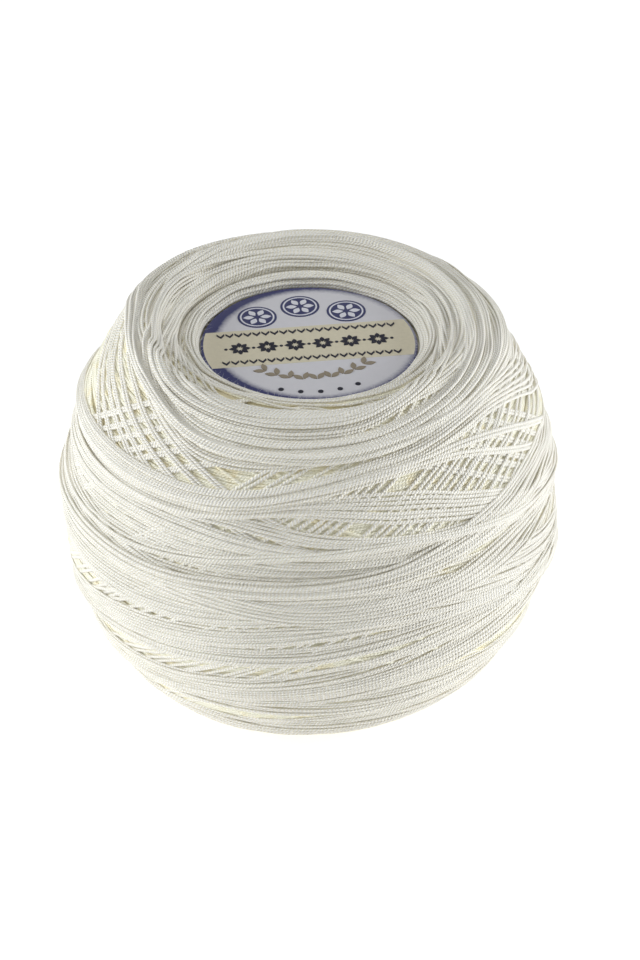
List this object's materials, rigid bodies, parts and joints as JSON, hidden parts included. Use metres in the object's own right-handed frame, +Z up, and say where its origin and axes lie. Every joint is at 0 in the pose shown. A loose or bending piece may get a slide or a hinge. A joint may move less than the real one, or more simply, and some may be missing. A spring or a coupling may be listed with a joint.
{
  "type": "ball of crochet thread",
  "caption": "Machine-wound ball of fine cotton crochet thread with crossing bundles, a flat foot and a round card label sunk in its top; one short loose end at the side.",
  "frame": {"origin": "centre of the ball's footprint, on the surface it rests on", "axes": "+Z up along the ball's winding axis, through the label; -Y is the front"},
  "size_m": [0.073, 0.072, 0.0604],
  "materials": {
    "cotton_thread": "mercerised ecru cotton, fine twisted thread with a soft gloss",
    "label_card": "smooth printed card, pale ground with a cream band and a dark blue rim"
  },
  "bodies": {
    "root": {"thread_ball": "cotton_thread", "label": "label_card", "thread_end": "cotton_thread"}
  },
  "joints": []
}
